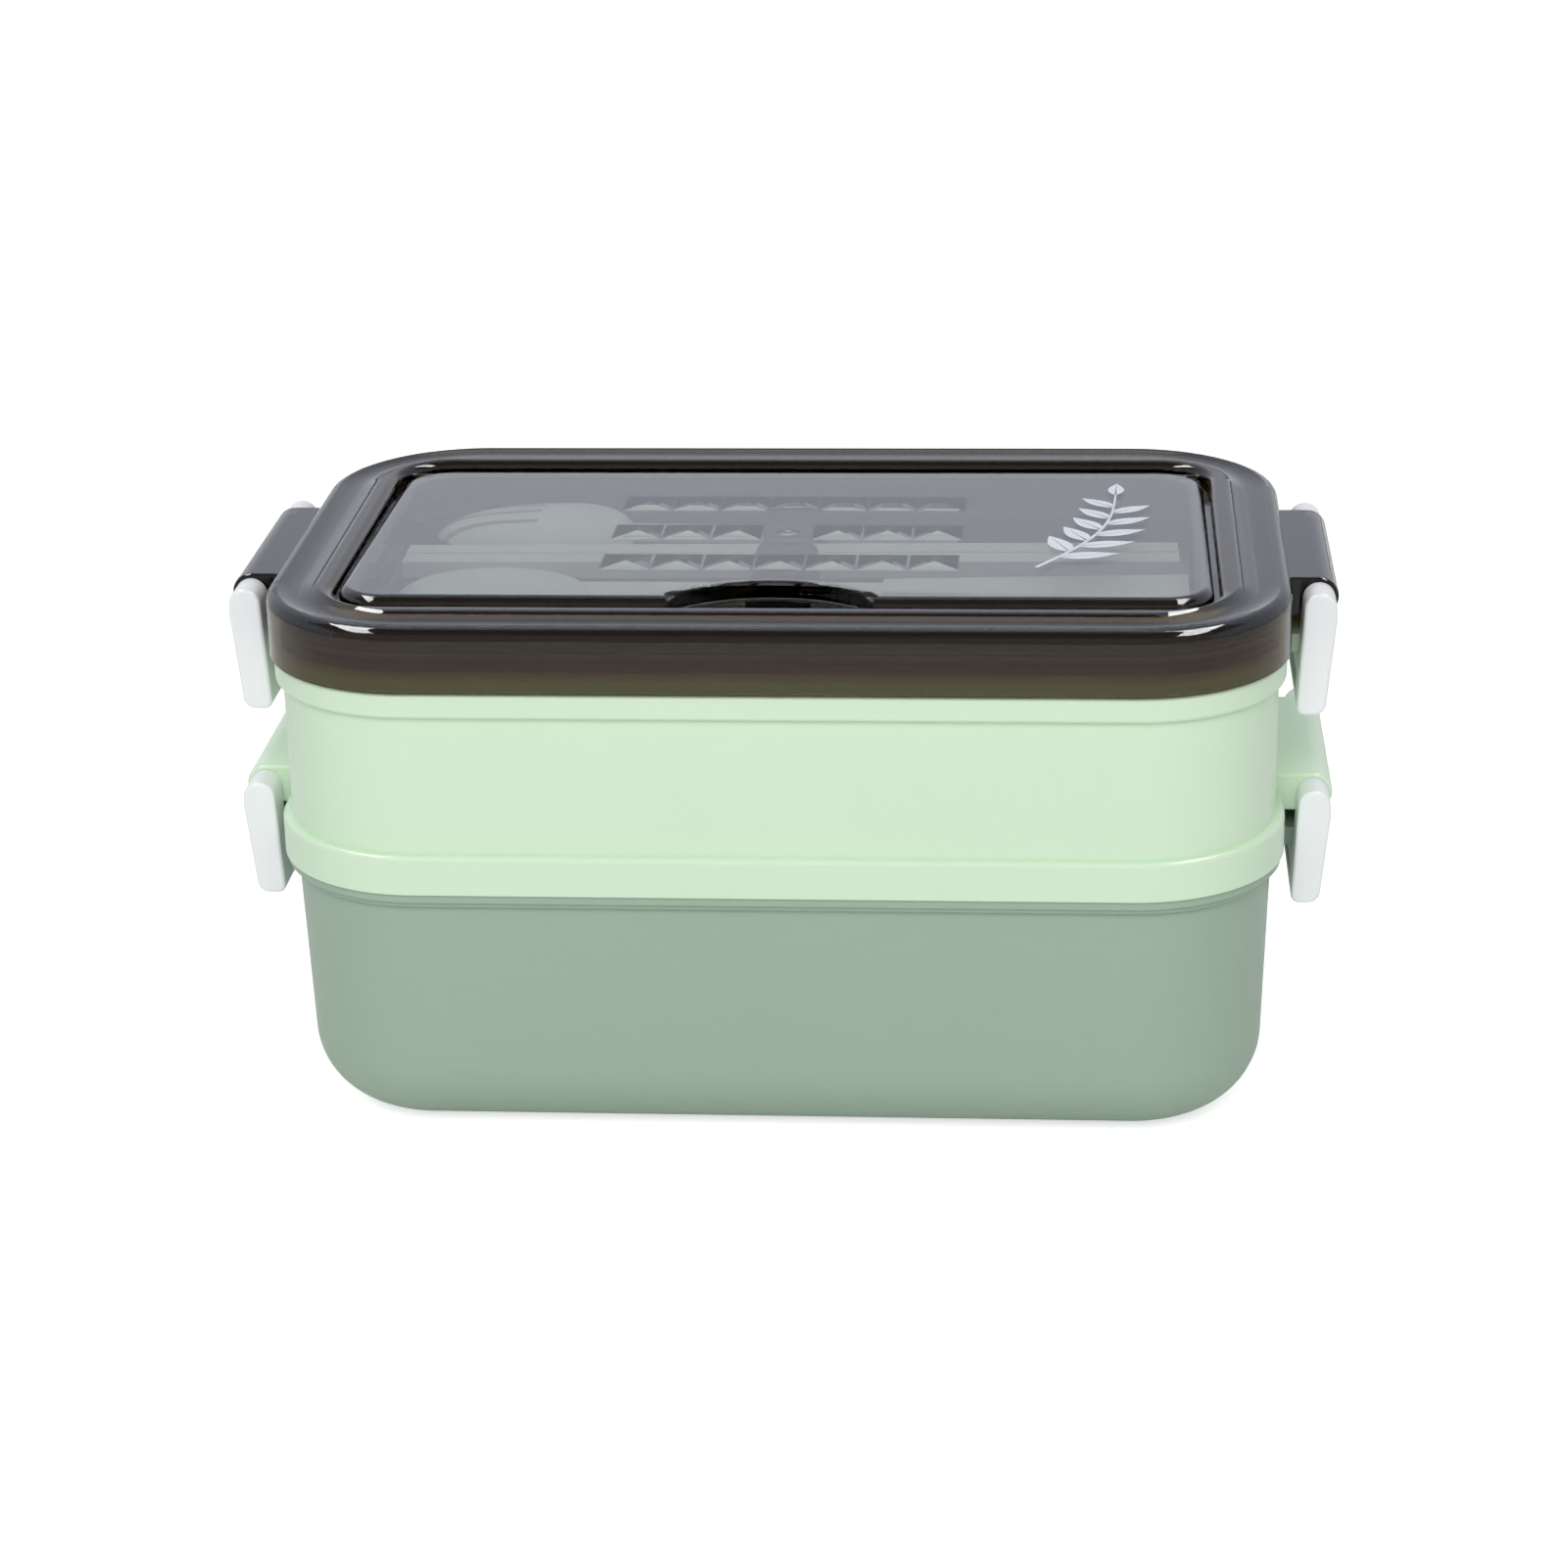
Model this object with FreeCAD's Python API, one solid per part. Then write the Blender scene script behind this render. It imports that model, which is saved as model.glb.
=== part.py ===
import FreeCAD, Part
import math
import os

os.makedirs("parts", exist_ok=True)
V = FreeCAD.Vector

# Plan of the lid; every ring below is this outline moved inwards by an inset
lid_width = 196.0
lid_depth = 122.6
corner_radius = 29.7

# Heights of the lower tier, the middle tier and the lid, as they stack
lower_height = 52.9
middle_height = 40.7
lid_height = 12.6
ridge_rise = 0.5
skirt_height = 7.8
floor_thickness = 2.0

# Walls, from outside to inside
skin = 1.9
lid_wall = 1.9
rim_gap = 0.5
middle_inset = 2.2
middle_wall = 2.0
middle_bead_inset = 0.75
middle_bead_drop = 0.3
middle_bead_height = 5.0
middle_bead_round = 0.8
cavity_round = 5.0
skirt_inset = 0.35
skirt_round = 1.0
lower_inset = 2.75
lower_wall = 1.9
lower_draft_deg = 1.85
lower_bottom_radius = 15.2
bead_step_inset = 0.95
bead_low_inset = 1.75
bead_drop = 0.2
bead_step_height = 1.6
bead_low_height = 1.3
bead_round = 0.4

# Rims, channels and seals
lid_rim_overlap = 3.9
tier_rim_overlap = 4.3
channel_roof_thickness = 2.7
tier_seal_height = 2.4
seal_gap = 0.2
seal_groove_rise = 3.8
seal_groove_width = 0.6
seal_groove_depth = 0.4
plug_gap = 0.5
plug_thickness = 1.8
plug_lift = 1.6

# Recess, tray and cover in the lid
rim_side = 13.9
rim_front = 14.0
recess_radius = 10.5
shoulder_radius = 2.4
ridge_width = 5.0
ridge_depth = 2.0
ridge_edge_radius = 1.9
groove_inset = 5.7
groove_depth = 0.7
groove_half = 3.4
ledge_side = 4.1
ledge_front = 5.3
ledge_drop = 6.6
tray_radius = 9.0
tray_lift = 1.2
tray_floor_round = 0.8
tray_wall = 1.8
cover_gap = 1.0
cover_thickness = 2.6
cover_edge_radius = 2.2
cover_proud = 0.2
cover_tilt_deg = 1.44
cover_seat_gap = 0.1
hinge_from_edge = 2.0
hinge_pin_radius = 0.9
hinge_pin_length = 1.5
hinge_pin_root = 3.0
hinge_room = 2.85
running_gap = 0.07
notch_chord = 39.4
notch_reach = 9.4
lip_width = 1.8
lip_rise = 0.7
lip_round = 0.6
well_gap = 0.7
well_wall = 1.6
well_top_gap = 0.5
well_round = 0.5
pit_width = 9.6
pit_length = 10.2
pit_depth = 1.8
pit_pitch = 9.95
pit_row_pitch = 20.9
pit_row_y = 1.0
pit_rows = [(1, [-3, -2, -1, 0, 1, 2, 3]), (0, [-3, -2, -1, 1, 2, 3]), (-1, [-3, -2, -1, 0, 1, 2, 3])]
gate_radius = 1.9
gate_nub = 0.7
gate_depth = 0.6

# Ears and latches
ear_half = 22.3
ear_radius = 3.85
ear_edge = 0.6
axis_out = 5.5
root_inset = 4.5
lid_ear_lift = 6.8
tier_ear_lift = 7.4
pin_radius = 1.5
pin_reach = 3.0
pin_gap = 0.07
side_gap = 0.3
latch_half = 30.0
lid_latch_length = 21.4
tier_latch_length = 20.3
latch_boss = 3.1
latch_end_radius = 0.7
latch_toe = 2.4
latch_heel = 1.6
latch_face_drop = 2.2
latch_plate = 2.2
latch_lean_out = 1.6
latch_lean_in = 1.0
latch_bulge = 0.1
ear_room = 0.45
hook_drop = 11.5
hook_gap = 0.3
hook_height = 3.5
foot_height = 2.6
lug_half = 21.0
lug_out = 3.6
lug_height = 3.6
lug_edge = 0.5

# Cutlery, laid in lanes from the back wall of the tray, and the posts between the lanes
head_end_gap = 3.0
handle_end_gap = 1.0
spoon_lane = 20.5
spoon_head = (20.5, 12.0, 5.4)
spoon_neck = 8.0
spoon_neck_drop = 0.8
spoon_end = 15.0
spoon_height = 3.2
spoon_handle_shift = 1.5
fork_side_gap = 1.0
fork_end_gap = 2.0
fork_length = 108.0
fork_head = (28.0, 14.0, 5.4)
fork_handle = 7.0
fork_height = 2.0
fork_turn_deg = -2.5
head_wall = 1.5
head_overlap = 4.0
handle_round = 1.0
tine_slot = 1.6
tine_pitch = 5.4
tine_length = 23.0
stick_lane = 21.8
stick_end_gap = 2.5
stick_height = 3.4
stick_wide = 6.0
stick_narrow = 5.4
stick_gap = 0.5
stick_turn_deg = 1.0
post_lane = 8.2
post_width = 13.0
post_thickness = 2.0
post_pitch = 22.0
post_round = 4.0
post_gap = 0.5

# How far a cutting tool passes a face
past = 5.0

skirt_low = lower_height
skirt_high = skirt_low + skirt_height
lid_low = skirt_low + middle_height
lid_top = lid_low + lid_height
ridge_top = lid_top + ridge_rise
rim_top = lid_low + lid_rim_overlap
channel_roof = lid_top - channel_roof_thickness
tier_rim_top = skirt_low + tier_rim_overlap
middle_floor_low = tier_rim_top + tier_seal_height
middle_floor_high = middle_floor_low + floor_thickness
tier_plug_inset = lower_inset + lower_wall + plug_gap
lid_plug_inset = middle_inset + middle_wall + plug_gap
axis_x = lid_width / 2 + axis_out
root_x = lid_width / 2 - root_inset
lug_x = lid_width / 2 + lug_out
lid_axis_z = lid_low + lid_ear_lift
tier_axis_z = skirt_low + tier_ear_lift
recess_width = lid_width - 2 * rim_side
recess_depth = lid_depth - 2 * rim_front
tray_width = recess_width - 2 * ledge_side
tray_depth = recess_depth - 2 * ledge_front
tray_floor = lid_low + tray_lift
cover_width = recess_width - 2 * cover_gap
cover_depth = recess_depth - 2 * cover_gap
cover_radius = recess_radius - cover_gap
cover_level = lid_top + cover_proud
cover_low = cover_level - cover_thickness
cover_pivot = V(0, 0, cover_level)
head_x = head_end_gap - tray_width / 2
handle_x = tray_width / 2 - handle_end_gap
fork_y = tray_depth / 2 - fork_head[1] - fork_side_gap
stick_y = fork_y - stick_lane
spoon_y = stick_y - spoon_lane
post_y = stick_y - post_lane


def outline(width, depth, radius, z):
    x = width / 2
    y = depth / 2
    a = x - radius
    b = y - radius
    k = radius * math.sqrt(0.5)
    edges = []
    for sx, sy in [(1, 1), (-1, 1), (-1, -1), (1, -1)]:
        side = V(sx * x, sy * b, z)
        mid = V(sx * (a + k), sy * (b + k), z)
        end = V(sx * a, sy * y, z)
        if sx == sy:
            edges.append((side, mid, end))
        else:
            edges.append((end, mid, side))
    wire = []
    for n in range(4):
        wire.append(Part.Arc(*edges[n]).toShape())
        wire.append(Part.LineSegment(edges[n][2], edges[(n + 1) % 4][0]).toShape())
    return Part.Wire(wire)


def prism(width, depth, radius, low, high):
    return Part.Face(outline(width, depth, radius, low)).extrude(V(0, 0, high - low))


def ring_plan(inset, low, high):
    return prism(lid_width - 2 * inset, lid_depth - 2 * inset, corner_radius - inset, low, high)


def ring(outer_inset, inner_inset, low, high):
    return ring_plan(outer_inset, low, high).cut(ring_plan(inner_inset, low, high))


def round_level(shape, z, radius):
    edges = []
    for edge in shape.Edges:
        box = edge.BoundBox
        if abs(box.ZMin - z) < 0.001 and abs(box.ZMax - z) < 0.001:
            edges.append(edge)
    return shape.makeFillet(radius, edges)


def round_ends(shape, y, radius):
    edges = []
    for edge in shape.Edges:
        box = edge.BoundBox
        if abs(abs(box.YMin) - y) < 0.001 and abs(abs(box.YMax) - y) < 0.001 and box.YLength < 0.001:
            edges.append(edge)
    return shape.makeFillet(radius, edges)


def fuse_all(shapes):
    return shapes[0].multiFuse(shapes[1:]).removeSplitter()


def rod(x, z, radius, low, high):
    return Part.makeCylinder(radius, high - low, V(x, low, z), V(0, 1, 0))


def other_side(shape):
    turned = shape.copy()
    turned.rotate(V(0, 0, 0), V(0, 0, 1), 180)
    return turned


def ear(z):
    slab = Part.makeBox(axis_x - root_x, 2 * ear_half, 2 * ear_radius, V(root_x, -ear_half, z - ear_radius))
    body = slab.fuse(rod(axis_x, z, ear_radius, -ear_half, ear_half)).removeSplitter()
    return round_ends(body, ear_half, ear_edge)


def ear_holes(z):
    depth = pin_reach + side_gap
    radius = pin_radius + pin_gap
    front = rod(axis_x, z, radius, -ear_half - 1, -ear_half + depth)
    back = rod(axis_x, z, radius, ear_half - depth, ear_half + 1)
    return front.fuse(back)


def lug(z):
    low = z - hook_drop
    block = Part.makeBox(lug_x - root_x, 2 * lug_half, lug_height, V(root_x, -lug_half, low))
    edges = []
    for edge in block.Edges:
        if edge.BoundBox.XMin > lug_x - 0.01:
            edges.append(edge)
    return block.makeFillet(lug_edge, edges)


def both_sides(shape):
    return [shape, other_side(shape)]


def tapered(inset, low, high, radius):
    slope = math.tan(math.radians(lower_draft_deg))
    wires = []
    for z in (low, high):
        k = inset + slope * (lower_height - z)
        wires.append(outline(lid_width - 2 * k, lid_depth - 2 * k, corner_radius - k, z))
    return round_level(Part.makeLoft(wires, True, True), low, radius)


def lower_box():
    bead_high = lower_height - bead_drop
    bead_mid = bead_high - bead_step_height
    bead_low = bead_mid - bead_low_height
    shell = tapered(lower_inset, 0, lower_height, lower_bottom_radius)
    rim = ring_plan(lower_inset, lower_height, tier_rim_top)
    upper_bead = ring_plan(bead_step_inset, bead_mid, bead_high)
    lower_bead = round_level(ring_plan(bead_low_inset, bead_low, bead_high), bead_low, bead_round)
    body = fuse_all([shell, rim, upper_bead, lower_bead] + both_sides(lug(tier_axis_z)))
    inner = lower_inset + lower_wall
    hollow = tapered(inner, floor_thickness, lower_height, lower_bottom_radius - lower_wall)
    mouth = ring_plan(inner, lower_height, tier_rim_top + past)
    return body.cut(fuse_all([hollow, mouth]))


def middle_box():
    bead_high = lid_low - middle_bead_drop
    bead_low = bead_high - middle_bead_height
    skirt = round_level(ring_plan(skirt_inset, skirt_low, skirt_high), skirt_high, skirt_round)
    wall = ring_plan(middle_inset, middle_floor_low, rim_top)
    bead = ring_plan(middle_bead_inset, bead_low, bead_high)
    bead = round_level(bead, bead_low, middle_bead_round)
    bead = round_level(bead, bead_high, middle_bead_round)
    lugs = both_sides(lug(lid_axis_z))
    ears = both_sides(ear(tier_axis_z))
    body = fuse_all([skirt, wall, bead] + lugs + ears)
    cavity = ring_plan(middle_inset + middle_wall, middle_floor_high, rim_top + past)
    cavity = round_level(cavity, middle_floor_high, cavity_round)
    channel = ring_plan(lower_inset - rim_gap, skirt_low - past, middle_floor_low)
    for tool in [cavity, channel] + both_sides(ear_holes(tier_axis_z)):
        body = body.cut(tool)
    plug = ring(tier_plug_inset, tier_plug_inset + plug_thickness, skirt_low + plug_lift, middle_floor_low)
    return body.fuse(plug).removeSplitter()


def above_seat():
    reach = max(lid_width, lid_depth)
    start = V(-reach / 2, -reach / 2, cover_low - cover_seat_gap)
    block = Part.makeBox(reach, reach, lid_height + past, start)
    block.rotate(cover_pivot, V(1, 0, 0), -cover_tilt_deg)
    return block


def flat_axis():
    return V(0, cover_depth / 2 - hinge_from_edge, cover_level - cover_thickness / 2)


def cover_axis():
    turn = FreeCAD.Rotation(V(1, 0, 0), -cover_tilt_deg)
    return turn.multVec(flat_axis().sub(cover_pivot)).add(cover_pivot)


def side_at(width, depth, radius, y):
    run = y - (depth / 2 - radius)
    return width / 2 - radius + math.sqrt(radius * radius - run * run)


def hinge_bar(centre, radius, half):
    return Part.makeCylinder(radius, 2 * half, V(-half, centre.y, centre.z), V(1, 0, 0))


def recess_plan(grow, low, high):
    return prism(recess_width + 2 * grow, recess_depth + 2 * grow, recess_radius + grow, low, high)


def ridge():
    low = lid_top - ridge_depth
    band = recess_plan(ridge_width, low, ridge_top).cut(recess_plan(0, low, ridge_top))
    return round_level(band, ridge_top, ridge_edge_radius)


def groove():
    radius = (groove_half * groove_half + groove_depth * groove_depth) / (2 * groove_depth)
    level = lid_top - groove_depth + radius
    k = groove_inset
    path = outline(lid_width - 2 * k, lid_depth - 2 * k, corner_radius - k, level)
    start = path.Edges[0].Vertexes[0].Point
    circle = Part.Wire(Part.makeCircle(radius, start, V(0, 1, 0)))
    return path.makePipeShell([circle], True, False)


def post(n):
    y = post_y + n * post_pitch
    a = post_width / 2
    low = tray_floor - tray_wall / 2
    high = cover_low - y * math.tan(math.radians(cover_tilt_deg)) - post_gap
    block = Part.makeBox(post_width, post_thickness, high - low, V(-a, y - post_thickness / 2, low))
    edges = []
    for edge in block.Edges:
        if edge.BoundBox.ZMin > high - 0.01 and edge.BoundBox.XLength < 0.01:
            edges.append(edge)
    return block.makeFillet(post_round, edges)


def notch_circle():
    half = notch_chord / 2
    radius = (half * half + notch_reach * notch_reach) / (2 * notch_reach)
    return radius, notch_reach - radius - cover_depth / 2


def finger_well():
    notch_radius, centre_y = notch_circle()
    inner = notch_radius + well_gap
    outer = inner + well_wall
    low = tray_floor - tray_wall / 2
    high = cover_low - (centre_y + outer) * math.tan(math.radians(cover_tilt_deg)) - well_top_gap
    centre = V(0, centre_y, low)
    wall = Part.makeCylinder(outer, high - low, centre).cut(Part.makeCylinder(inner, high - low, centre))
    wall = round_level(wall, high, well_round)
    return wall.common(prism(tray_width + tray_wall, tray_depth + tray_wall, tray_radius, low, high))


def lid():
    shell = round_level(ring_plan(0, lid_low, lid_top), lid_top, shoulder_radius)
    body = fuse_all([shell] + both_sides(ear(lid_axis_z)))
    under_edge = lid_plug_inset + plug_thickness
    ledge_under = lid_top - ledge_drop
    channel = ring(lid_wall, lid_plug_inset, lid_low - past, channel_roof)
    below = ring_plan(under_edge, lid_low - past, ledge_under)
    above = ring(under_edge, rim_side - skin, ledge_under - past, lid_top - skin)
    body = body.cut(channel).cut(below).cut(above)
    wide = tray_width + 2 * tray_wall
    deep = tray_depth + 2 * tray_wall
    body = body.fuse(prism(wide, deep, tray_radius + tray_wall, tray_floor - tray_wall, lid_top - skin))
    open_top = ridge_top + past
    recess = recess_plan(0, tray_floor, open_top).common(above_seat())
    hollow = prism(tray_width, tray_depth, tray_radius, tray_floor, open_top)
    hollow = round_level(hollow, tray_floor, tray_floor_round)
    pivot = cover_axis()
    recess_side = side_at(recess_width, recess_depth, recess_radius, pivot.y)
    trough = hinge_bar(pivot, hinge_room, recess_side).common(recess_plan(0, tray_floor, open_top))
    holes = hinge_bar(pivot, hinge_pin_radius + running_gap, recess_side + hinge_pin_length + side_gap)
    seat = recess_plan(ridge_width - ridge_rise, lid_top - ridge_depth, open_top)
    for tool in [recess, hollow, trough, seat] + both_sides(ear_holes(lid_axis_z)):
        body = body.cut(tool)
    body = body.fuse(ridge()).cut(groove()).cut(holes)
    return fuse_all([body, finger_well()] + [post(n) for n in (-1, 0, 1)])


def pit(x, y, z):
    a = pit_width / 2
    b = pit_length / 2
    corners = [V(x - a, y - b, z), V(x + a, y - b, z), V(x + a, y + b, z), V(x - a, y + b, z)]
    tip = V(x, y, z + pit_depth)
    faces = [Part.Face(Part.makePolygon(corners + [corners[0]]))]
    for n in range(4):
        first = corners[n]
        second = corners[(n + 1) % 4]
        faces.append(Part.Face(Part.makePolygon([first, second, tip, first])))
    return Part.Solid(Part.Shell(faces))


def gate(z):
    ring_cut = Part.makeCylinder(gate_radius, gate_depth, V(0, pit_row_y, z))
    return ring_cut.cut(Part.makeCylinder(gate_nub, gate_depth, V(0, pit_row_y, z)))


def notch():
    radius, centre_y = notch_circle()
    centre = V(0, centre_y, cover_low - past)
    bite = Part.makeCylinder(radius, cover_thickness + 2 * past, centre)
    raised = Part.makeCylinder(radius + lip_width, cover_thickness + lip_rise + past, centre)
    r = cover_edge_radius
    flat = prism(cover_width - 2 * r, cover_depth - 2 * r, cover_radius - r, cover_low, cover_level + past)
    lip = round_level(raised.common(flat), cover_level + lip_rise, lip_round)
    return lip, bite


def cutlery_cover():
    plate = prism(cover_width, cover_depth, cover_radius, cover_low, cover_level)
    plate = round_level(plate, cover_level, cover_edge_radius)
    lip, bite = notch()
    body = plate.fuse(lip).cut(bite)
    for row, columns in pit_rows:
        for n in columns:
            body = body.cut(pit(n * pit_pitch, pit_row_y + row * pit_row_pitch, cover_low))
    body = body.cut(gate(cover_low))
    pivot = flat_axis()
    reach = side_at(recess_width, recess_depth, recess_radius, pivot.y) + hinge_pin_length
    inside = side_at(cover_width, cover_depth, cover_radius, pivot.y) - hinge_pin_root
    bar = hinge_bar(pivot, hinge_pin_radius, reach).cut(hinge_bar(pivot, 2 * hinge_pin_radius, inside))
    body = body.multiFuse(bar.Solids).removeSplitter()
    body.rotate(cover_pivot, V(1, 0, 0), -cover_tilt_deg)
    return body


def latch_profile(z, length):
    b = latch_boss
    low = -length
    out = b + latch_bulge
    out_low = out - latch_lean_out
    in_low = -b - latch_lean_in
    toe_cut = latch_toe * (1 - math.sqrt(0.5))
    heel_cut = latch_heel * (1 - math.sqrt(0.5))

    def point(x, dz):
        return V(axis_x + x, -latch_half, z + dz)

    toe_start = point(out_low, low + latch_toe)
    toe_end = point(out_low - latch_toe, low)
    heel_start = point(in_low + latch_heel, low)
    heel_end = point(in_low, low + latch_heel)
    top = Part.Arc(point(-b, 0), point(0, b), point(b, 0)).toShape()
    side = Part.LineSegment(point(b, 0), point(out, -latch_face_drop)).toShape()
    face = Part.LineSegment(point(out, -latch_face_drop), toe_start).toShape()
    toe = Part.Arc(toe_start, point(out_low - toe_cut, low + toe_cut), toe_end).toShape()
    sole = Part.LineSegment(toe_end, heel_start).toShape()
    heel = Part.Arc(heel_start, point(in_low + heel_cut, low + heel_cut), heel_end).toShape()
    back = Part.LineSegment(heel_end, point(-b, 0)).toShape()
    return Part.Wire([top, side, face, toe, sole, heel, back])


def latch(z, length):
    body = Part.Face(latch_profile(z, length)).extrude(V(0, 2 * latch_half, 0))
    body = round_ends(body, latch_half, latch_end_radius)
    inside = ear_half + side_gap
    face = latch_boss + latch_bulge - latch_plate
    slope = latch_lean_out / (length - latch_toe - latch_face_drop)
    back = -axis_out - past
    hook = -hook_drop - hook_gap
    under = hook - hook_height
    foot = -length + foot_height

    def pocket(high, low):
        points = []
        for x, dz in [(back, high), (face + slope * high, high), (face + slope * low, low), (back, low)]:
            points.append(V(axis_x + x, -inside, z + dz))
        return Part.Face(Part.makePolygon(points + [points[0]])).extrude(V(0, 2 * inside, 0))

    room = rod(axis_x, z, ear_radius + ear_room, -inside, inside)
    body = body.cut(pocket(latch_boss + past, hook)).cut(pocket(under, foot)).cut(room)
    pins = [rod(axis_x, z, pin_radius, inside - pin_reach, inside + pin_reach)]
    pins.append(rod(axis_x, z, pin_radius, -inside - pin_reach, -inside + pin_reach))
    return body.multiFuse(pins).removeSplitter()


def seal(outer_inset, inner_inset, low, high):
    return ring(outer_inset + seal_gap, inner_inset - seal_gap, low, high)


def lid_seal():
    body = seal(lid_wall, lid_plug_inset, rim_top, channel_roof)
    inset = lid_wall + seal_gap
    low = rim_top + seal_groove_rise
    return body.cut(ring(inset, inset + seal_groove_depth, low, low + seal_groove_width))


def dome(x, y, axes, blunt):
    wires = []
    for share, size in [(0, 1.0), (0.5, 0.86), (0.85, 0.52), (1.0, 0.2)]:
        centre = V(x, y, tray_floor + share * axes[2])
        oval = Part.Ellipse(centre, size * axes[0], size * axes[1])
        if blunt:
            circle = Part.Circle(centre, V(0, 0, 1), size * axes[1])
            tip = Part.ArcOfEllipse(oval, math.pi / 2, 3 * math.pi / 2).toShape()
            heel = Part.ArcOfCircle(circle, -math.pi / 2, math.pi / 2).toShape()
            wires.append(Part.Wire([tip, heel]))
        else:
            wires.append(Part.Wire(oval.toShape()))
    return Part.makeLoft(wires, True, False)


def head(x, y, axes, blunt):
    inner = [a - head_wall for a in axes]
    return dome(x, y, axes, blunt), dome(x, y, inner, blunt)


def handle(start, end, y, first_width, last_width, height):
    low = tray_floor
    high = low + height
    wires = []
    for x, width in ((start, first_width), (end, last_width)):
        near = y - width / 2
        far = y + width / 2
        corners = [V(x, near, low), V(x, far, low), V(x, far, high), V(x, near, high)]
        wires.append(Part.makePolygon(corners + [corners[0]]))
    bar = Part.makeLoft(wires, True, True)
    edges = []
    for edge in bar.Edges:
        if edge.BoundBox.XLength > 1 and edge.BoundBox.ZMin > low + height / 2:
            edges.append(edge)
    return bar.makeFillet(handle_round, edges)


def spoon():
    x = head_x + spoon_head[0]
    y = spoon_y + spoon_handle_shift
    shell, inner = head(x, spoon_y, spoon_head, False)
    start = x + spoon_head[0] - head_overlap
    middle = (start + handle_x) / 2
    neck = handle(start, middle + 1, y, spoon_neck, spoon_neck, spoon_height - spoon_neck_drop)
    grip = handle(middle, handle_x, y, spoon_neck, spoon_end, spoon_height)
    return fuse_all([shell, neck, grip]).cut(inner)


def fork():
    tip = head_x + fork_end_gap
    x = tip + fork_head[0]
    shell, inner = head(x, fork_y, fork_head, True)
    start = x + fork_head[1] - head_overlap
    grip = handle(start, tip + fork_length, fork_y, fork_handle, fork_handle, fork_height)
    body = shell.fuse(grip).cut(inner)
    for n in (-1, 0, 1):
        y = fork_y + n * tine_pitch - tine_slot / 2
        start = V(tip - 1, y, tray_floor - past)
        body = body.cut(Part.makeBox(tine_length, tine_slot, fork_head[2] + 2 * past, start))
    body.rotate(V(x, fork_y, 0), V(0, 0, 1), fork_turn_deg)
    return body


def chopstick(side):
    half = tray_width / 2 - stick_end_gap
    high = tray_floor + stick_height
    near = stick_y + side * stick_gap / 2
    wires = []
    for x, width in ((-half, stick_narrow), (half, stick_wide)):
        far = near + side * width
        corners = [V(x, near, tray_floor), V(x, far, tray_floor), V(x, far, high), V(x, near, high)]
        wires.append(Part.makePolygon(corners + [corners[0]]))
    bar = Part.makeLoft(wires, True, True)
    bar.rotate(V(0, stick_y, 0), V(0, 0, 1), stick_turn_deg)
    return bar


pieces = {
    "lower_box": lower_box(),
    "middle_box": middle_box(),
    "lid": lid(),
    "cutlery_cover": cutlery_cover(),
    "latch_lid_right": latch(lid_axis_z, lid_latch_length),
    "latch_lid_left": other_side(latch(lid_axis_z, lid_latch_length)),
    "latch_box_right": latch(tier_axis_z, tier_latch_length),
    "latch_box_left": other_side(latch(tier_axis_z, tier_latch_length)),
    "lid_seal": lid_seal(),
    "middle_seal": seal(lower_inset - rim_gap, tier_plug_inset, tier_rim_top, middle_floor_low),
    "spoon": spoon(),
    "fork": fork(),
    "chopstick_front": chopstick(-1),
    "chopstick_back": chopstick(1),
}

for name, shape in pieces.items():
    solids = shape.Solids
    print(name, "solids", len(solids), "valid", shape.isValid(), "volume", round(shape.Volume, 1))
    solids[0].exportStep("parts/" + name + ".step")

axis = cover_axis()
print("cover axis", round(axis.y, 4), round(axis.z, 4))
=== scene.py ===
import math
import bmesh
import bpy
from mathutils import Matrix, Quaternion, Vector
from mathutils.bvhtree import BVHTree


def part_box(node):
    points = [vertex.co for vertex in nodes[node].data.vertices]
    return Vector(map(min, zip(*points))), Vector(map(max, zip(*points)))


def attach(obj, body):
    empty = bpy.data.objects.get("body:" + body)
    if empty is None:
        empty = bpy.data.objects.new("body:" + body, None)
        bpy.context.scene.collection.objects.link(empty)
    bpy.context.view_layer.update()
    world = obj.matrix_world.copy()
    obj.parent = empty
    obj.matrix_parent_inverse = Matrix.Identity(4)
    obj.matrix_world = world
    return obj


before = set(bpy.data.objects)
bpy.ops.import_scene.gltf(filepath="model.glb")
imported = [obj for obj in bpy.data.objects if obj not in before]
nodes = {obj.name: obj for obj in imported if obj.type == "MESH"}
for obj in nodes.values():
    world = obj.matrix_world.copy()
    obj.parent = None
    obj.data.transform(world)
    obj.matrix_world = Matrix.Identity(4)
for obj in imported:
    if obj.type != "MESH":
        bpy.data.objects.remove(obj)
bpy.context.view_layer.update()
scene = bpy.context.scene
scene.view_settings.view_transform = "Standard"
print("frame loaded:", len(nodes), "pieces")

# camera at the photograph's place
cameraSet = {
    "place": (0.05735, -0.71209, 0.33010),
    "turn": (68.7617, 1.1834, 4.2908),  # degrees about x, y and z
    "focalPixels": 3842.2,
    "frameSize": 1600,
    "sensor": 36.0,
    "clip": (0.01, 50),
}


def makeCamera(spec):
    data = bpy.data.cameras.new("photoCamera")
    data.sensor_width = spec["sensor"]
    data.sensor_height = spec["sensor"]
    data.sensor_fit = "HORIZONTAL"
    data.lens = spec["focalPixels"] * spec["sensor"] / spec["frameSize"]
    data.clip_start, data.clip_end = spec["clip"]
    cam = bpy.data.objects.new("photoCamera", data)
    scene.collection.objects.link(cam)
    cam.location = spec["place"]
    cam.rotation_euler = [math.radians(angle) for angle in spec["turn"]]
    scene.camera = cam


makeCamera(cameraSet)
print("camera set")

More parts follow.
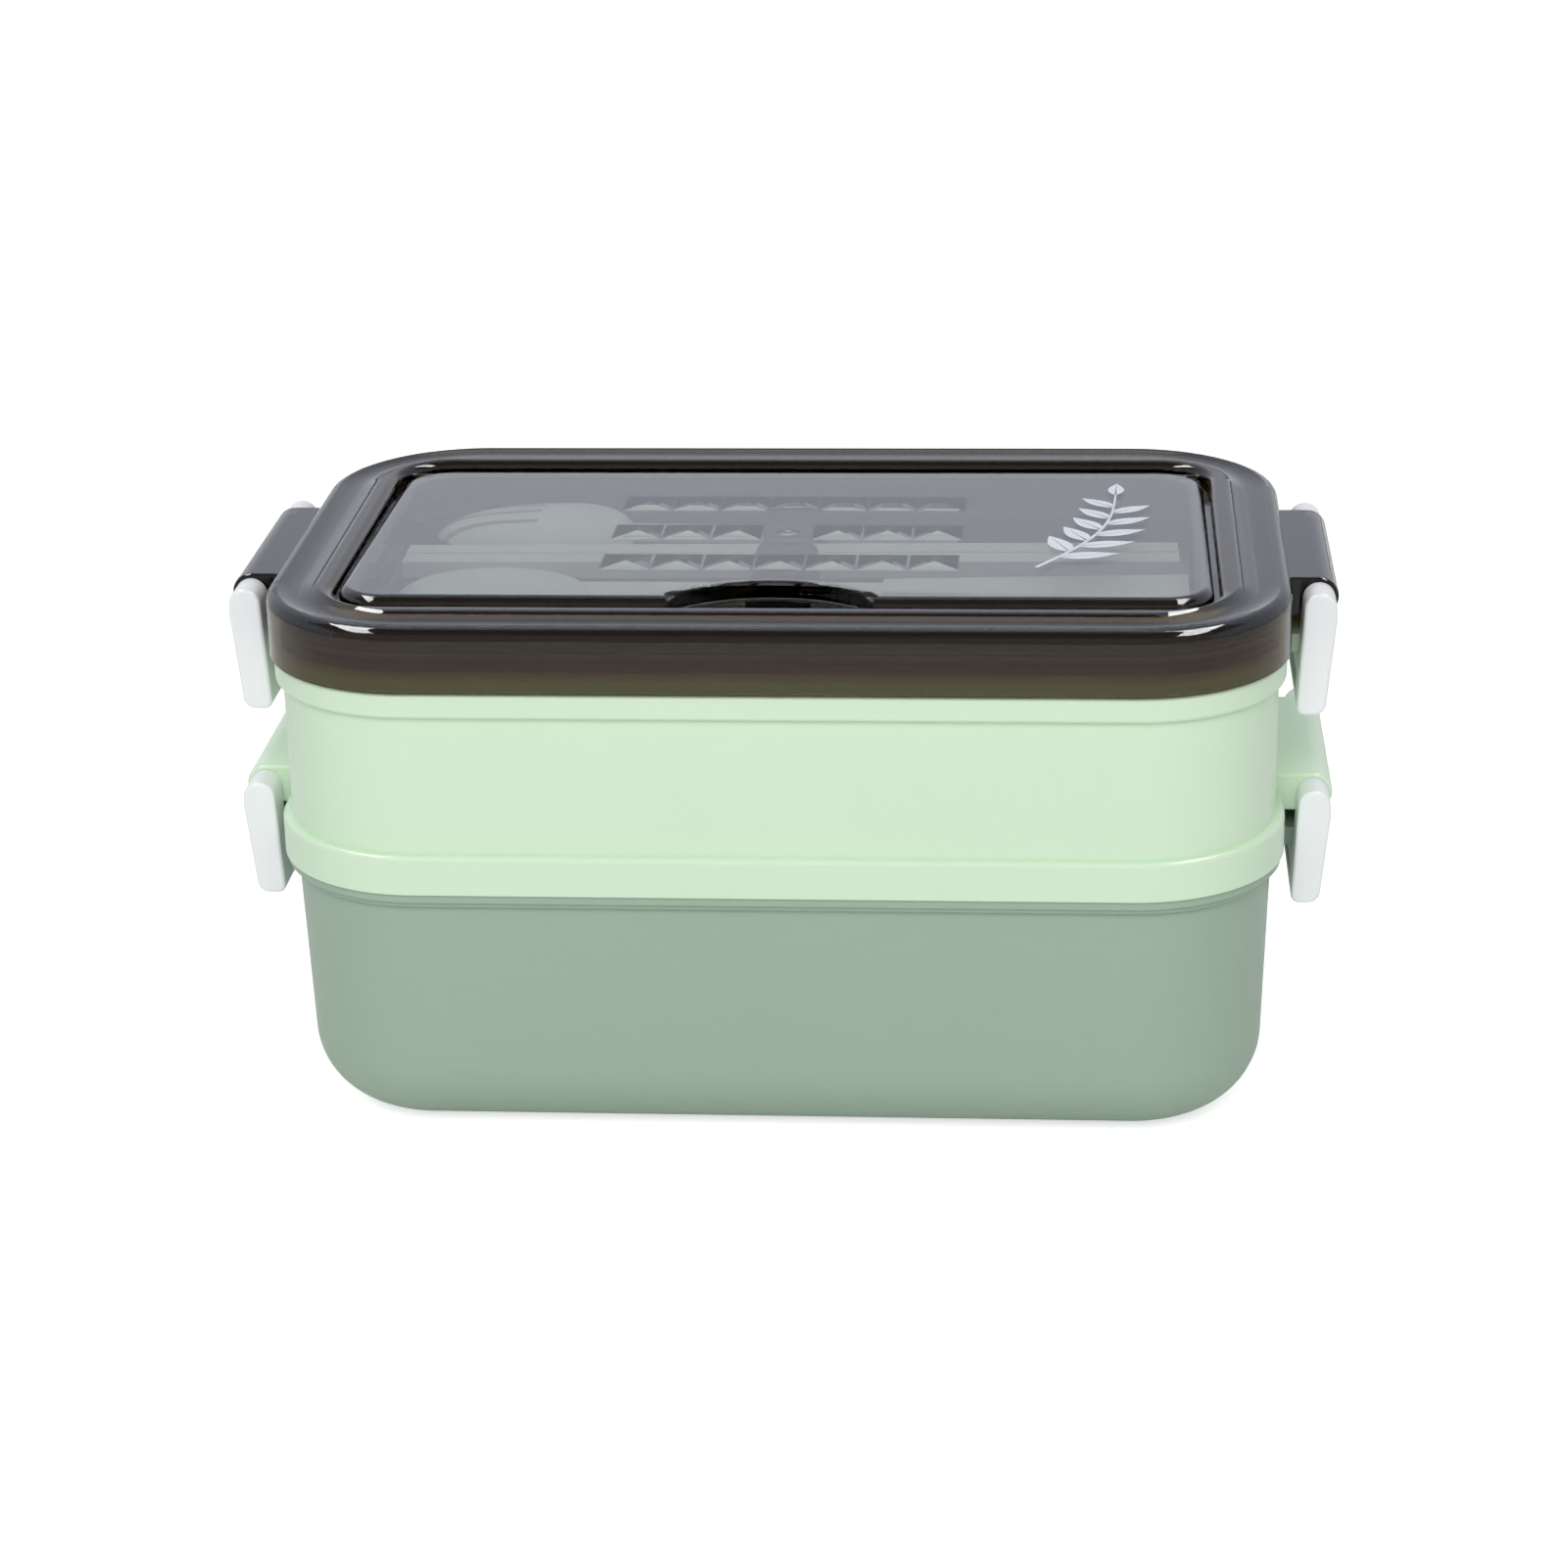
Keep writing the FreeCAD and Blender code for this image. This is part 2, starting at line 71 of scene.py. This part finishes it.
# small helpers for node materials
mixSockets = {"factor": 0, "first": 6, "second": 7, "result": 2}  # the colour sockets of a Mix node
noiseSpan = (0.3, 0.7)  # the stretch of a noise that is spread over a range
white = (1, 1, 1)


def newMaterial(name):
    mat = bpy.data.materials.new(name)
    mat.use_nodes = True
    tree = mat.node_tree
    shader = tree.nodes["Principled BSDF"]
    return mat, tree, shader


def put(tree, kind, **values):
    node = tree.nodes.new(kind)
    for key, value in values.items():
        setattr(node, key, value)
    return node


def placeParts(tree):
    where = put(tree, "ShaderNodeTexCoord")
    split = put(tree, "ShaderNodeSeparateXYZ")
    tree.links.new(where.outputs["Object"], split.inputs[0])
    return split.outputs


def noiseAt(tree, scale, detail=2.0):
    where = put(tree, "ShaderNodeTexCoord")
    noise = put(tree, "ShaderNodeTexNoise")
    noise.inputs["Scale"].default_value = scale
    noise.inputs["Detail"].default_value = detail
    tree.links.new(where.outputs["Object"], noise.inputs["Vector"])
    return noise.outputs["Fac"]


def mapRange(tree, value, source, target=(0, 1)):
    ranger = put(tree, "ShaderNodeMapRange")
    ranger.inputs["From Min"].default_value = source[0]
    ranger.inputs["From Max"].default_value = source[1]
    ranger.inputs["To Min"].default_value = target[0]
    ranger.inputs["To Max"].default_value = target[1]
    tree.links.new(value, ranger.inputs["Value"])
    return ranger.outputs["Result"]


def blendColours(tree, factor, first, second):
    mix = put(tree, "ShaderNodeMix", data_type="RGBA")
    mix.inputs[mixSockets["first"]].default_value = (*first, 1)
    mix.inputs[mixSockets["second"]].default_value = (*second, 1)
    tree.links.new(factor, mix.inputs[mixSockets["factor"]])
    return mix.outputs[mixSockets["result"]]


def multiplyColours(tree, first, second):
    mix = put(tree, "ShaderNodeMix", data_type="RGBA", blend_type="MULTIPLY")
    mix.inputs[mixSockets["factor"]].default_value = 1.0
    tree.links.new(first, mix.inputs[mixSockets["first"]])
    tree.links.new(second, mix.inputs[mixSockets["second"]])
    return mix.outputs[mixSockets["result"]]


def heightRamp(tree, low, high, stops):
    ramp = put(tree, "ShaderNodeValToRGB")
    marks = ramp.color_ramp.elements
    while len(marks) < len(stops):
        marks.new(0.5)  # moved to its place below
    for mark, (at, colour) in zip(marks, stops):
        mark.position = at
        mark.color = (*toLinear(colour), 1)
    tree.links.new(mapRange(tree, placeParts(tree)["Z"], (low, high)), ramp.inputs["Fac"])
    return ramp.outputs["Color"]


def addBump(tree, shader, height, strength, depth):
    bump = put(tree, "ShaderNodeBump")
    bump.inputs["Strength"].default_value = strength
    bump.inputs["Distance"].default_value = depth
    tree.links.new(height, bump.inputs["Height"])
    tree.links.new(bump.outputs["Normal"], shader.inputs["Normal"])
    return bump


def softenEdges(tree, bump, radius, samples=6):
    edge = put(tree, "ShaderNodeBevel", samples=samples)
    edge.inputs["Radius"].default_value = radius
    tree.links.new(edge.outputs["Normal"], bump.inputs["Normal"])


# sRGB values of 0 to 255 as the linear values that a shader takes
def toLinear(rgb):
    out = []
    for v in rgb:
        v = v / 255
        out.append(v / 12.92 if v <= 0.04045 else ((v + 0.055) / 1.055) ** 2.4)
    return tuple(out)


def shades(rgb, factors):
    return [tuple(min(1.0, v * factor) for v in rgb) for factor in factors]


# moulded plastics: faint mottling, uneven satin, fine moulding texture
plasticSet = {
    "sage": {"colour": (160, 182, 163), "rough": (0.34, 0.42), "grain": 900, "bump": 0.05},
    "mint": {"colour": (216, 239, 212), "rough": (0.285, 0.295), "grain": 900, "bump": 0.03},
    "white": {"colour": (243, 246, 248), "rough": (0.34, 0.42), "grain": 1200, "bump": 0.04},
    "cutlery": {"colour": (214, 228, 212), "rough": (0.30, 0.40), "grain": 1000, "bump": 0.03},
}
mouldSet = {
    "ior": 1.47,
    "mottleScale": 22,
    "mottle": (0.99, 1.01),
    "satinScale": 140,
    "grainDepth": 0.0002,
}


def mouldedPlastic(name, spec, mould):
    mat, tree, shader = newMaterial(name)
    tones = shades(toLinear(spec["colour"]), mould["mottle"])
    colour = blendColours(tree, noiseAt(tree, mould["mottleScale"]), *tones)
    tree.links.new(colour, shader.inputs["Base Color"])
    satin = mapRange(tree, noiseAt(tree, mould["satinScale"]), noiseSpan, spec["rough"])
    tree.links.new(satin, shader.inputs["Roughness"])
    shader.inputs["IOR"].default_value = mould["ior"]
    addBump(tree, shader, noiseAt(tree, spec["grain"]), spec["bump"], mould["grainDepth"])
    return mat


# tinted silicone of the seals, in soft bands from the foot of the ring to its crown: partly the seal's
# own tint, partly painted shade that darkens it towards the crown
siliconeSet = {
    "bands": {
        "low": 0.0975,
        "high": 0.1035,
        "stops": (
            (0.0, (205, 203, 168)),
            (0.33, (117, 107, 94)),
            (0.60, (148, 130, 108)),
            (0.86, (102, 91, 80)),
            (1.0, (88, 78, 68)),
        ),
    },
    "rough": 0.6,
    "grain": 700,
    "bump": 0.05,
    "grainDepth": 0.0002,
}


def tintAndShadeSilicone(name, spec):
    mat, tree, shader = newMaterial(name)
    # the bands give the seal's tint and painted shade
    tree.links.new(heightRamp(tree, **spec["bands"]), shader.inputs["Base Color"])
    shader.inputs["Roughness"].default_value = spec["rough"]
    addBump(tree, shader, noiseAt(tree, spec["grain"]), spec["bump"], spec["grainDepth"])
    return mat


# clear smoke plastic: the tint is absorbed on the way through
# the lid has painted shade: its colour is darker within its tray, and a soft painted shadow ring runs
# round the skirt at the foot of its seal
smokeSet = {
    "lid": {
        "tint": (0.40, 0.295, 0.003),
        "density": 735.0,
        "rough": (0.004, 0.016),
        # painted shade: the lid's colour is darker within the tray, standing in for the dark box below
        "tray": {"tone": (0.34, 0.36, 0.42), "span": (0.985, 0.965)},
        # painted shadow: a soft darker ring round the skirt at the foot of the seal
        "paintedSeamShadow": {
            "low": 0.0958,
            "high": 0.0998,
            "stops": ((0.0, (255, 255, 255)), (0.62, (221, 193, 206)), (1.0, (255, 255, 255))),
        },
    },
    "cover": {
        "tint": (0.20, 0.17, 0.14),
        "density": 170.0,
        "rough": (0.004, 0.014),
        "softEdge": 0.0008,
    },
}
polishSet = {
    "ior": 1.49,
    "hazeScale": 45,
    "waveScale": 28,
    "wave": 0.02,
    "waveDepth": 0.0001,
}


# 1 within the cover's outline, 0 outside; the span is in shares of its half sides; it masks the lid's
# painted tray shade
def insideTray(tree, span):
    low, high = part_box("cutlery_cover")
    parts = placeParts(tree)
    widest = put(tree, "ShaderNodeMath", operation="MAXIMUM")
    for n in (0, 1):
        away = put(tree, "ShaderNodeMath", operation="ABSOLUTE")
        share = put(tree, "ShaderNodeMath", operation="DIVIDE")
        share.inputs[1].default_value = (high[n] - low[n]) / 2
        tree.links.new(parts[n], away.inputs[0])
        tree.links.new(away.outputs[0], share.inputs[0])
        tree.links.new(share.outputs[0], widest.inputs[n])
    return mapRange(tree, widest.outputs[0], span)


def smokePlastic(name, spec, polish):
    mat, tree, shader = newMaterial(name)
    shader.inputs["Base Color"].default_value = (*white, 1)
    # painted shade within the tray, times a painted shadow ring at the seal's foot
    if "tray" in spec:
        trayShadeColour = blendColours(tree, insideTray(tree, spec["tray"]["span"]), white, spec["tray"]["tone"])
        # painted shadow ring at the seal's foot
        paintedSeamShadow = heightRamp(tree, **spec["paintedSeamShadow"])
        tree.links.new(multiplyColours(tree, trayShadeColour, paintedSeamShadow), shader.inputs["Base Color"])
    shader.inputs["Transmission Weight"].default_value = 1.0
    shader.inputs["IOR"].default_value = polish["ior"]
    haze = mapRange(tree, noiseAt(tree, polish["hazeScale"]), noiseSpan, spec["rough"])
    tree.links.new(haze, shader.inputs["Roughness"])
    waves = noiseAt(tree, polish["waveScale"], detail=1.0)
    bump = addBump(tree, shader, waves, polish["wave"], polish["waveDepth"])
    if "softEdge" in spec:
        softenEdges(tree, bump, spec["softEdge"])
    depth = put(tree, "ShaderNodeVolumeAbsorption")
    depth.inputs["Color"].default_value = (*spec["tint"], 1)
    depth.inputs["Density"].default_value = spec["density"]
    tree.links.new(depth.outputs["Volume"], tree.nodes["Material Output"].inputs["Volume"])
    return mat


finishes = {key: mouldedPlastic(key + "Plastic", spec, mouldSet) for key, spec in plasticSet.items()}
finishes["silicone"] = tintAndShadeSilicone("tintAndShadeSilicone", siliconeSet)
finishes["smokeLid"] = smokePlastic("smokeLid", smokeSet["lid"], polishSet)
finishes["smokeCover"] = smokePlastic("smokeCover", smokeSet["cover"], polishSet)

# the finish that each piece wears
wears = {
    "lower_box": "sage",
    "middle_box": "mint",
    "lid": "smokeLid",
    "cutlery_cover": "smokeCover",
    "latch_lid_left": "white",
    "latch_lid_right": "white",
    "latch_box_left": "white",
    "latch_box_right": "white",
    "lid_seal": "silicone",
    "middle_seal": "silicone",
    "fork": "cutlery",
    "spoon": "cutlery",
    "chopstick_front": "cutlery",
    "chopstick_back": "cutlery",
}
for name, key in wears.items():
    piece = nodes[name]
    piece.data.materials.clear()
    piece.data.materials.append(finishes[key])
print("finishes on", len(wears), "pieces")


# white leaf sprig printed on the cover, beside the pits
printSet = {
    "stemStart": (0.0495, -0.0250),
    "stemEnd": (0.0650, 0.0270),
    "stemBow": -0.0045,
    "stemHalf": (0.00045, 0.00018),  # half widths at the foot and the tip
    "leafPairs": 5,
    "leafFrom": 0.14,
    "leafSpan": 0.76,
    "leafStagger": 0.5,
    "leafStand": 0.0004,
    "leafLong": 0.0125,
    "leafShort": 0.0085,
    "leafShare": 0.36,
    "leafPeak": 0.82,
    "leafTurn": 48.0,
    "tipAt": 0.99,
    "veinGap": 0.0004,
    "castFrom": 0.2,
    "filmLift": 0.00002,
    "filmThick": 0.00005,
}
inkSet = {
    "colour": (226, 233, 243),
    "cloudScale": 900,
    "cloudDetail": 3.0,
    "cloud": (0.95, 1.03),
    "roughScale": 400,
    "rough": (0.38, 0.52),
    "grain": 2500,
    "bump": 0.08,
    "grainDepth": 0.00005,
}


def sideOf(along):
    return Vector((-along.y, along.x))


def stemPoint(spec, t):
    start, end = Vector(spec["stemStart"]), Vector(spec["stemEnd"])
    side = sideOf((end - start).normalized())
    return start.lerp(end, t) + side * spec["stemBow"] * math.sin(math.pi * t)


def stemAlong(spec, t, step=0.01):
    return (stemPoint(spec, t + step) - stemPoint(spec, t - step)).normalized()


def stemOutline(spec, steps=28):
    near, far = [], []
    foot, tip = spec["stemHalf"]
    for n in range(steps + 1):
        t = n / steps
        side = sideOf(stemAlong(spec, t)) * (foot + (tip - foot) * t)
        near.append(stemPoint(spec, t) - side)
        far.append(stemPoint(spec, t) + side)
    return near + far[::-1]


def leafHalves(spec, foot, angle, length, steps=14):
    along = Vector((math.cos(angle), math.sin(angle)))
    side = sideOf(along)
    halves = []
    for way in (-1, 1):
        rim, vein = [], []
        for n in range(steps + 1):
            u = n / steps
            bulge = math.sin(math.pi * u ** spec["leafPeak"]) * length * spec["leafShare"] / 2
            gap = spec["veinGap"] / 2 * (1 - u)
            rim.append(foot + along * u * length + side * way * (gap + bulge))
            vein.append(foot + along * u * length + side * way * gap)
        outline = vein[:-1] + rim[::-1][:-1]
        halves.append(outline[::way])
    return halves


def sprigOutlines(spec):
    outlines = [stemOutline(spec)]
    for n in range(spec["leafPairs"]):
        for way, late in ((-1, 0), (1, spec["leafStagger"])):
            t = spec["leafFrom"] + spec["leafSpan"] * (n + late) / spec["leafPairs"]
            along = stemAlong(spec, t)
            angle = math.atan2(along.y, along.x) + way * math.radians(spec["leafTurn"])
            length = spec["leafLong"] + (spec["leafShort"] - spec["leafLong"]) * t
            foot = stemPoint(spec, t) + along * spec["leafStand"]
            outlines += leafHalves(spec, foot, angle, length)
    tip = stemAlong(spec, spec["tipAt"])
    outlines += leafHalves(spec, stemPoint(spec, 1.0), math.atan2(tip.y, tip.x), spec["leafShort"])
    return outlines


def printInk(spec):
    mat, tree, shader = newMaterial("whiteInk")
    cloud = noiseAt(tree, spec["cloudScale"], spec["cloudDetail"])
    colour = blendColours(tree, cloud, *shades(toLinear(spec["colour"]), spec["cloud"]))
    tree.links.new(colour, shader.inputs["Base Color"])
    rough = mapRange(tree, noiseAt(tree, spec["roughScale"]), noiseSpan, spec["rough"])
    tree.links.new(rough, shader.inputs["Roughness"])
    addBump(tree, shader, noiseAt(tree, spec["grain"]), spec["bump"], spec["grainDepth"])
    return mat


# each outline is cast down on the cover and given the film's thickness
def makePrint(spec, ink):
    cover = nodes["cutlery_cover"].data
    corners = [v.co.copy() for v in cover.vertices]
    surface = BVHTree.FromPolygons(corners, [list(f.vertices) for f in cover.polygons])
    down = Vector((0, 0, -1))
    under = Vector((0, 0, spec["filmLift"]))
    over = Vector((0, 0, spec["filmLift"] + spec["filmThick"]))
    work = bmesh.new()
    for outline in sprigOutlines(spec):
        low, high = [], []
        for point in outline:
            hit = surface.ray_cast(Vector((point.x, point.y, spec["castFrom"])), down)[0]
            low.append(work.verts.new(hit + under))
            high.append(work.verts.new(hit + over))
        work.faces.new(high)
        work.faces.new(low[::-1])
        for n in range(len(outline)):
            after = (n + 1) % len(outline)
            work.faces.new((low[n], low[after], high[after], high[n]))
    bmesh.ops.recalc_face_normals(work, faces=work.faces)
    mesh = bpy.data.meshes.new("leaf_print")
    work.to_mesh(mesh)
    work.free()
    mesh.materials.append(printInk(ink))
    sprig = bpy.data.objects.new("leaf_print", mesh)
    scene.collection.objects.link(sprig)
    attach(sprig, "cutlery_cover")


makePrint(printSet, inkSet)
print("leaf print laid on the cover")


# pale floor and a white surround
stageSet = {
    "floorSize": 12.0,
    "floorDrop": 0.0002,
    "floorColour": (0.88, 0.88, 0.88),
    "floorRough": 0.9,
    "floorLift": 0.62,
    "surround": 0.45,
    "seenWhite": white,
    "glossWhite": (0.86, 0.90, 1.0),
}


def makeFloor(spec):
    mesh = bpy.data.meshes.new("floorSheet")
    h = spec["floorSize"] / 2
    mesh.from_pydata([(-h, -h, 0), (h, -h, 0), (h, h, 0), (-h, h, 0)], [], [(0, 1, 2, 3)])
    floor = bpy.data.objects.new("floorSheet", mesh)
    floor.location.z = -spec["floorDrop"]
    scene.collection.objects.link(floor)
    mat, tree, shader = newMaterial("floorPaper")
    shader.inputs["Base Color"].default_value = (*spec["floorColour"], 1)
    shader.inputs["Roughness"].default_value = spec["floorRough"]
    shader.inputs["Specular IOR Level"].default_value = 0.0
    light = put(tree, "ShaderNodeLightPath")
    glow = put(tree, "ShaderNodeEmission")
    lift = put(tree, "ShaderNodeMath", operation="MULTIPLY")
    lift.inputs[1].default_value = spec["floorLift"]
    tree.links.new(light.outputs["Is Camera Ray"], lift.inputs[0])
    tree.links.new(lift.outputs[0], glow.inputs["Strength"])
    both = put(tree, "ShaderNodeAddShader")
    tree.links.new(shader.outputs[0], both.inputs[0])
    tree.links.new(glow.outputs[0], both.inputs[1])
    tree.links.new(both.outputs[0], tree.nodes["Material Output"].inputs["Surface"])
    mesh.materials.append(mat)


def makeSurround(spec):
    world = bpy.data.worlds.new("whiteRoom")
    scene.world = world
    world.use_nodes = True
    tree = world.node_tree
    plain = tree.nodes["Background"]
    plain.inputs["Color"].default_value = (*white, 1)
    plain.inputs["Strength"].default_value = spec["surround"]
    light = put(tree, "ShaderNodeLightPath")
    shown = plain.outputs[0]
    for ray, tone in (("Glossy", "glossWhite"), ("Transmission", "glossWhite"), ("Camera", "seenWhite")):
        seen = put(tree, "ShaderNodeBackground")
        seen.inputs["Color"].default_value = (*spec[tone], 1)
        mix = put(tree, "ShaderNodeMixShader")
        tree.links.new(light.outputs["Is " + ray + " Ray"], mix.inputs[0])
        tree.links.new(shown, mix.inputs[1])
        tree.links.new(seen.outputs[0], mix.inputs[2])
        shown = mix.outputs[0]
    tree.links.new(shown, tree.nodes["World Output"].inputs["Surface"])


# a darker sheet bent over and before the object, seen only in its gloss
flagSet = {
    "width": 5.0,
    "radius": 1.9,
    "centre": (0, 0, 0.1),
    "from": 74.0,  # degrees, from behind over the top to the front
    "to": 186.0,
    "steps": 24,
    "overTone": (0.38, 0.30, 0.26),
    "frontTone": (0.72, 0.60, 0.51),
    "frontFrom": 128.0,
}


def flagCloth(name, tone):
    mat, tree, shader = newMaterial(name)
    shader.inputs["Base Color"].default_value = (0, 0, 0, 1)
    shader.inputs["Specular IOR Level"].default_value = 0.0
    shader.inputs["Emission Color"].default_value = (*tone, 1)
    shader.inputs["Emission Strength"].default_value = 1.0
    return mat


def makeFlag(spec):
    half = spec["width"] / 2
    sweep = (spec["to"] - spec["from"]) / spec["steps"]
    points, faces = [], []
    for n in range(spec["steps"] + 1):
        angle = math.radians(spec["from"] + sweep * n)
        y, z = spec["radius"] * math.cos(angle), spec["radius"] * math.sin(angle)
        for x in (-half, half):
            points.append(Vector(spec["centre"]) + Vector((x, y, z)))
    for n in range(spec["steps"]):
        faces.append((2 * n, 2 * n + 1, 2 * n + 3, 2 * n + 2))
    mesh = bpy.data.meshes.new("darkFlag")
    mesh.from_pydata(points, [], faces)
    mesh.materials.append(flagCloth("overCloth", spec["overTone"]))
    mesh.materials.append(flagCloth("frontCloth", spec["frontTone"]))
    for face in mesh.polygons:
        middle = spec["from"] + sweep * (face.index + 0.5)
        face.material_index = int(middle > spec["frontFrom"])
    flag = bpy.data.objects.new("darkFlag", mesh)
    scene.collection.objects.link(flag)
    flag.visible_camera = False
    flag.visible_diffuse = False
    flag.visible_transmission = False
    flag.visible_shadow = False


# a soft lamp before the object, two strips seen only in its gloss, two low soft lamps behind
lampAim = (0, 0, 0.06)
lampRoll = {"stripLeft": -13, "stripRight": 15}  # degrees about the line of aim
lampSet = {
    "lampFront": {"kind": "soft", "place": (-0.02, -1.15, 0.95), "size": (0.9, 0.7), "power": 9.9},
    "stripLeft": {"kind": "strip", "place": (-0.66, -0.04, 1.22), "size": (1.3, 0.3), "power": 19.0},
    "stripRight": {"kind": "strip", "place": (0.60, -0.01, 1.24), "size": (1.3, 0.3), "power": 19.0},
    "backLeft": {"kind": "soft", "place": (-0.85, 1.15, 0.40), "size": (0.8, 0.6), "power": 6.0},
    "backRight": {"kind": "soft", "place": (0.55, 1.30, 0.40), "size": (0.8, 0.6), "power": 5.0},
}


def makeLamp(name, spec):
    data = bpy.data.lights.new(name, "AREA")
    data.shape = "RECTANGLE"
    data.size, data.size_y = spec["size"]
    data.energy = spec["power"]
    lamp = bpy.data.objects.new(name, data)
    scene.collection.objects.link(lamp)
    lamp.location = spec["place"]
    aim = (Vector(lampAim) - Vector(spec["place"])).to_track_quat("-Z", "Y")
    roll = Quaternion((0, 0, 1), math.radians(lampRoll.get(name, 0)))
    lamp.rotation_euler = (aim @ roll).to_euler()
    lamp.visible_camera = False
    lamp.visible_diffuse = spec["kind"] == "soft"
    lamp.visible_glossy = spec["kind"] == "strip"
    lamp.visible_transmission = False


makeFloor(stageSet)
makeSurround(stageSet)
makeFlag(flagSet)
for name, spec in lampSet.items():
    makeLamp(name, spec)
print("stage lit")
